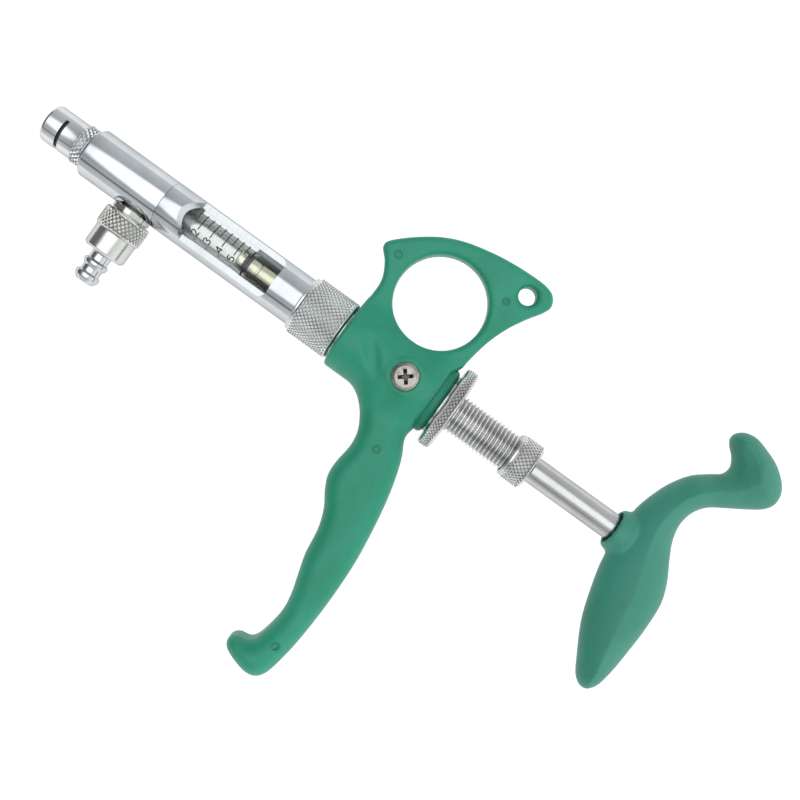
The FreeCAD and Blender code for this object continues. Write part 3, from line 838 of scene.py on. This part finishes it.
def pocket(x0, x1, half, depth, side, nose, lean=0.0):
    """A cutter down to the given height, round at the nozzle end and square at the other.

    nose is how long the round end is. lean slopes its wall into a rim.
    """
    soft = min(2.5, half)
    outline = [(x0 + nose - nose * cos(radians(a)), half * sin(radians(a)))
               for a in range(-90, 91, 5)]
    outline += [(x1 - soft + soft * sin(radians(a)), half - soft + soft * cos(radians(a)))
                for a in range(0, 91, 10)]
    outline += [(x1 - soft + soft * cos(radians(a)), soft - half - soft * sin(radians(a)))
                for a in range(0, 91, 10)]
    count = len(outline)
    turn = Matrix.Rotation(radians(side - WINDOW_TURN), 3, "X")
    corners = [turn @ Vector((x + shift * max((x0 + nose - x) / nose, 0), y, z))
               for z, shift in ((depth, lean), (7.6, 0.0)) for x, y in outline]
    corners += [turn @ Vector((x, y, 9.0)) for x, y in outline]
    walls = [(at + k, at + (k + 1) % count, at + count + (k + 1) % count, at + count + k)
             for at in (0, count) for k in range(count)]
    return solid("window", corners, [tuple(range(count)), tuple(range(2 * count, 3 * count)),
                                     *walls])


def sleeve():
    """Barrel tube with its milled sight window, a light slot behind and the rear flange."""
    x0, x1 = SLEEVE_X
    profile = [(x0, 6.1), (x0, BARREL_R), (x1 - 2.3, BARREL_R), (x1 - 2.3, 7.95), (x1, 7.95),
               (x1, 6.1)]
    verts, faces = spun(softened(profile, 0.1), 160)
    cutters = [pocket(*WINDOW, WINDOW_HALF, WINDOW_FLAT, 0, nose=3.9, lean=3.8),
               pocket(*FAR_SLOT, FAR_SLOT_HALF, FAR_SLOT_FLAT, 180, nose=3.9)]
    made = piece("barrel_sleeve_windowed", verts, faces, "barrel_sleeve", CHROME,
                 cutters=cutters, cut_material=MILLED, sharp=25.0)
    made.data.materials.append(BORE)
    for face in made.data.polygons:
        if hypot(face.center.y, face.center.z) < 6.15 * MM and abs(face.normal.x) < 0.1 \
                and face.material_index == 0:
            face.material_index = 2


def wrapped(name, flats, radius, lift=0.03):
    """Thin printed marks: closed flat outlines (x, across) laid round the glass."""
    verts, faces = [], []
    turn = radians(WINDOW_TURN)
    for outline in flats:
        start, count = len(verts), len(outline)
        for r in (radius, radius + lift):
            for x, across in outline:
                angle = turn + across / radius
                verts.append((x, r * sin(angle), r * cos(angle)))
        faces += [tuple(range(start + count - 1, start - 1, -1)),
                  tuple(range(start + count, start + 2 * count))]
        faces += [(start + k, start + (k + 1) % count, start + count + (k + 1) % count,
                   start + count + k) for k in range(count)]
    return piece(name, verts, faces, "glass_cylinder", INK, whole=False)


def tick(x, low, high, width=0.32, steps=6):
    """A line across the glass, as a closed outline with points enough to bend."""
    edge = [low + (high - low) * k / steps for k in range(steps + 1)]
    return [(x - width / 2, a) for a in edge] + [(x + width / 2, a) for a in edge[::-1]]


def stroke(points, width=0.36):
    """A pen stroke of even width through points, as small overlapping-free quads."""
    flats = []
    for (x0, a0), (x1, a1) in zip(points, points[1:]):
        length = hypot(x1 - x0, a1 - a0)
        nx, na = (a1 - a0) / length * width / 2, -(x1 - x0) / length * width / 2
        flats.append([(x0 + nx, a0 + na), (x1 + nx, a1 + na), (x1 - nx, a1 - na),
                      (x0 - nx, a0 - na)])
    return flats


DIGITS = {
    "2": [(-0.75, 0.75), (-0.55, 1.05), (0.0, 1.2), (0.55, 1.05), (0.75, 0.6), (0.6, 0.1),
          (-0.75, -1.2), (0.8, -1.2)],
    "3": [(-0.7, 1.0), (0.0, 1.2), (0.6, 1.0), (0.7, 0.55), (0.0, 0.1), (0.7, -0.3),
          (0.75, -0.8), (0.3, -1.15), (-0.3, -1.2), (-0.75, -0.9)],
    "4": [(0.45, -1.2), (0.45, 1.2), (-0.8, -0.45), (0.85, -0.45)],
    "5": [(0.7, 1.2), (-0.5, 1.2), (-0.65, 0.15), (0.1, 0.35), (0.7, -0.1), (0.7, -0.75),
          (0.1, -1.2), (-0.7, -0.95)],
}


def digit(figure, x, across, size=1.0):
    """A figure with its top towards the nozzle."""
    points = [(x - b * size, across + a * size) for a, b in DIGITS[figure]]
    return stroke(points)


sleeve()
glass_length = length_of("glass_cylinder")
turned("glass_cylinder_tube",
       [(0, 2.75), (0, GLASS_R), (glass_length, GLASS_R), (glass_length, 2.75)],
       "glass_cylinder", GLASS, count=128, soft=0.3)
marks = []
for step, value in enumerate("2345"):
    x = 53.1 + DIVISION * step
    marks.append(tick(x, -1.45, 3.9))
    marks += digit(value, x - 0.25, -2.65, 0.85)
    marks.append([(x + 0.6 + 0.2 * cos(radians(a)), -4.5 + 0.2 * sin(radians(a)))
                  for a in range(0, 360, 45)])
marks += [tick(51.05 + DIVISION * step, 0.4, 3.9) for step in range(5)]
wrapped("volume_scale", marks, GLASS_R + 0.01)
for node_name in ("front_cylinder_gasket", "rear_cylinder_gasket"):
    turned(node_name + "_ring", [(0, 2.75), (0, 5.9), (0.8, 5.9), (0.8, 2.75)],
           node_name, SEAL_RUBBER, soft=0.2)
turned("rod_gland_bush", [(0, 2.05), (0, 5.7), (0.4, 6.05), (3.3, 6.05), (3.7, 5.7),
                          (3.7, 2.05)], "rod_gland", BRASS)
knurled("connection_nut_body",
        [(0, 7.65), (0, 8.3), (0.2, 8.5), (0.9, 8.5), (1, 8.75), (1.3, 9.2),
         (13.8, 9.2), (14.4, 8.6), (14.4, 8.0), (5.15, 8.0), (5.15, 7.65)],
        (*NUT_KNURL, 42, 1.5), "connection_nut", KNURLED_NUT)


# ---------------------------------------------------------------- plunger

turned("piston_body",
       [(0, 0), (0, 2.5), (0.2, 2.68), (2.1, 2.68), (2.1, 0.95), (4.1, 0.95),
        (4.1, 2.68), (6.5, 2.68), (6.7, 2.5), (7.2, 2.5), (7.4, 2.68), (12.6, 2.68),
        (12.9, 2.4), (12.9, 1.5), (6.9, 1.5), (6.9, 0)], "piston", BRASS, soft=0.08)
turned("piston_ring", [(0.9 + 0.93 * cos(tau * k / 24), min(1.89 + 0.93 * sin(tau * k / 24), 2.76))
                       for k in range(24, 0, -1)], "piston_o_ring", O_RING_RUBBER_AND_SLOT_SHADE, soft=0.0)
turned("plunger_rod_body",
       [(0, 0), (0, 1.45), (5.85, 1.45), (5.85, 2.0), (50.8, 2.0), (50.8, 5.5),
        (53.3, 5.5), (53.3, 4.0), (126.9, 4.0), (126.9, 3.0), (136.7, 3.0), (136.7, 0)],
       "plunger_rod", STEEL)
turned("spring_washer_disc", [(0, 2.05), (0, 5.5), (0.85, 5.5), (0.85, 2.05)],
       "spring_washer", STEEL, soft=0.15)
coil("return_spring_coil", 4.7, 1.0, 10, "return_spring")
turned("palm_insert_body",
       [(0, 3.05), (0, 4.7), (0.3, 5.0), (3.35, 5.0), (3.55, 4.7), (4.55, 4.7),
        (4.75, 5.0), (10.45, 5.0), (10.75, 4.7), (10.75, 3.05)], "palm_insert", BRASS)


# ---------------------------------------------------------------- frame metal and dose setting

turned("frame_liner_tube",
       [(0, 6.35), (0, 7.55), (0.4, 7.95), (7, 7.95), (7, 8.4), (40.9, 8.4),
        (40.9, 5.85), (31.8, 5.85), (31.8, 6.35)], "frame_liner", STEEL)


def screw():
    """Pan-head screw with a cross recess, its cut faces painted dark as shade."""
    base = 10.4
    profile = [(6.65, 0), (6.65, 1.6), (6.95, 1.95), (base, 1.95), (base, 3.75), (base + 0.2, 4.0),
               (base + 0.9, 4.0), (base + 1.5, 3.75), (base + 1.95, 3.1), (base + 2.15, 2.0),
               (base + 2.2, 0)]
    verts, faces = spun(softened(profile, 0.1), 80)
    cutters = []
    for angle in (40, 130):
        turn = Matrix.Rotation(radians(angle), 3, "Z")
        corners = []
        for depth, half, wide in ((base + 0.3, 1.1, 0.36), (base + 3.0, 2.7, 0.62)):
            for sx, sy in ((-1, -1), (1, -1), (1, 1), (-1, 1)):
                spot = turn @ Vector((sx * half, sy * wide, depth))
                corners.append((spot.x + SCREW_X, spot.y, spot.z))
        cutters.append(solid("slot", corners, [(0, 1, 2, 3), (4, 5, 6, 7), (0, 1, 5, 4),
                                               (1, 2, 6, 5), (2, 3, 7, 6), (3, 0, 4, 7)]))
    # the cross recess takes the painted shade material
    piece("frame_screw_pan_head", to_screw(verts), faces, "frame_screw", SCREW_STEEL,
          cutters=cutters, cut_material=RECESS_SHADE)


def threaded(name, x0, x1, crest, depth, inner, pitch, node_name, material):
    """A sleeve with a helical thread outside and a plain bore."""
    count, fine = 96, 14
    rows = int((x1 - x0) / pitch * fine)
    rings = []
    for i in range(rows + 1):
        x = x0 + (x1 - x0) * i / rows
        fade = min((x - x0) / 0.5, (x1 - x) / 0.5, 1)
        radii = []
        for k in range(count):
            phase = abs((x / pitch - k / count) % 1 - 0.5) * 2
            lift = min(max(phase * 1.35 - 0.18, 0), 1)
            radii.append(crest - depth * (1 - min(lift, fade)))
        rings.append((x, radii))
    verts, faces = spun([(x0, inner), *rings, (x1, inner)], count)
    piece(name, verts, faces, node_name, material, sharp=50.0)


screw()
turned("stop_washer_disc", [(0, 4.05), (0, 5.5), (1, 5.5), (1, 4.05)],
       "stop_washer", STEEL, soft=0.15)
threaded("dose_sleeve_thread", *DOSE_X, *DOSE_THREAD, 4.05, 1.25, "dose_sleeve", THREAD_STEEL)
knurled("end_nut_body",
        [(0, 5.9), (0, 6.4), (0.4, 6.75), (1.1, 6.75), (1.2, 7.05),
         (6.8, 7.05), (7.4, 6.4), (7.4, 4.05), (6.15, 4.05), (6.15, 5.9)],
        (*END_KNURL, 34, 1.5), "end_nut", KNURLED_END)
turned("lock_washer_disc", [(0, 5.85), (0, 9.2), (0.65, 9.2), (0.65, 5.85)],
       "lock_washer", STEEL, soft=0.1)
knurled("lock_disc_body",
        [(0, 5.85), (0, 12.2), (0.5, 12.75), (3.2, 12.75), (3.7, 12.2),
         (3.7, 9.0), (3.4, 8.7), (3.4, 7.0), (3.7, 6.7), (3.7, 5.85)],
        (*DISC_KNURL, 60, 1.2), "lock_disc", KNURLED_DISC)

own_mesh(bpy.data.objects["return_spring_coil"])
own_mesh(bpy.data.objects["outlet_spring"])
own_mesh(bpy.data.objects["inlet_spring"])


# ---------------------------------------------------------------- studio

def studio_world():
    """A pale room: broad soft light overhead, grey walls, one narrow dark gap low on one side."""
    world = bpy.data.worlds.new("studio")
    world.use_nodes = True
    tree = world.node_tree
    background = tree.nodes["Background"]
    coord = tree.nodes.new("ShaderNodeTexCoord")
    split = tree.nodes.new("ShaderNodeSeparateXYZ")
    tree.links.new(coord.outputs["Generated"], split.inputs["Vector"])

    def maths(kind, a, b=None):
        made = tree.nodes.new("ShaderNodeMath")
        made.operation = kind
        for socket, value in zip(made.inputs, (a, b)):
            if isinstance(value, (int, float)):
                socket.default_value = value
            elif value is not None:
                tree.links.new(value, socket)
        return made.outputs["Value"]

    tilt = maths("ARCCOSINE", split.outputs["Z"])
    overhead = node(tree, "ShaderNodeMapRange", From_Min=radians(38), From_Max=radians(29),
                    To_Min=0.0, To_Max=1.0)
    tree.links.new(tilt, overhead.inputs["Value"])
    walls = node(tree, "ShaderNodeMapRange", From_Min=radians(40), From_Max=radians(88),
                 To_Min=0.58, To_Max=0.82)
    tree.links.new(tilt, walls.inputs["Value"])
    dim_end = node(tree, "ShaderNodeMapRange", From_Min=-0.35, From_Max=-0.8, To_Min=1.0,
                   To_Max=0.25)
    lit_end = node(tree, "ShaderNodeMapRange", From_Min=0.35, From_Max=0.7, To_Min=1.0,
                   To_Max=1.65)
    for end in (dim_end, lit_end):
        tree.links.new(split.outputs["X"], end.inputs["Value"])
    ends = maths("MULTIPLY", dim_end.outputs["Result"], lit_end.outputs["Result"])
    bright = maths("MULTIPLY_ADD", overhead.outputs["Result"], 1.15)
    tree.links.new(maths("MULTIPLY", walls.outputs["Result"], ends), bright.node.inputs[2])
    side = maths("ARCTAN2", maths("MULTIPLY", split.outputs["Y"], -1.0), split.outputs["Z"])
    off = maths("ABSOLUTE", maths("SUBTRACT", side, radians(58)))
    gap = node(tree, "ShaderNodeMapRange", From_Min=radians(2.5), From_Max=radians(6),
               To_Min=0.3, To_Max=1.0)
    tree.links.new(off, gap.inputs["Value"])
    level = maths("MULTIPLY", bright, gap.outputs["Result"])
    tree.links.new(level, background.inputs["Strength"])
    background.inputs["Color"].default_value = (0.97, 0.985, 1.0, 1)
    bpy.context.scene.world = world


def floor():
    size = 3000.0
    ground = solid("floor", [(-size, -size, FLOOR_Z), (size, -size, FLOOR_Z),
                             (size, size, FLOOR_Z), (-size, size, FLOOR_Z)], [(0, 1, 2, 3)])
    mat, tree, shader = new_material("floor_paper", (0.22, 0.22, 0.22), 0.0, 0.9)
    shader.inputs["Emission Color"].default_value = (1, 1, 1, 1)
    shader.inputs["Emission Strength"].default_value = 0.93
    grain = node(tree, "ShaderNodeTexNoise", Scale=900.0, Detail=2.0)
    tree.links.new(coordinates(tree, (1, 1, 1)), grain.inputs["Vector"])
    bump(tree, shader, grain.outputs["Fac"], 0.02 * MM)
    ground.data.materials.append(mat)


def camera():
    """Straight above, the barrel running down to the right at the picture's slant."""
    lens = bpy.data.cameras.new("camera")
    lens.lens = 47.25
    lens.clip_start = 0.01
    seen = bpy.data.objects.new("camera", lens)
    seen.matrix_world = Matrix(((0.8105, -0.5857, 0, 0.1267), (0.5857, 0.8105, 0, -0.00604),
                                (0, 0, 1, 0.299), (0, 0, 0, 1)))
    bpy.context.scene.collection.objects.link(seen)
    bpy.context.scene.camera = seen


studio_world()
floor()
camera()
bpy.context.scene.view_settings.view_transform = "Standard"
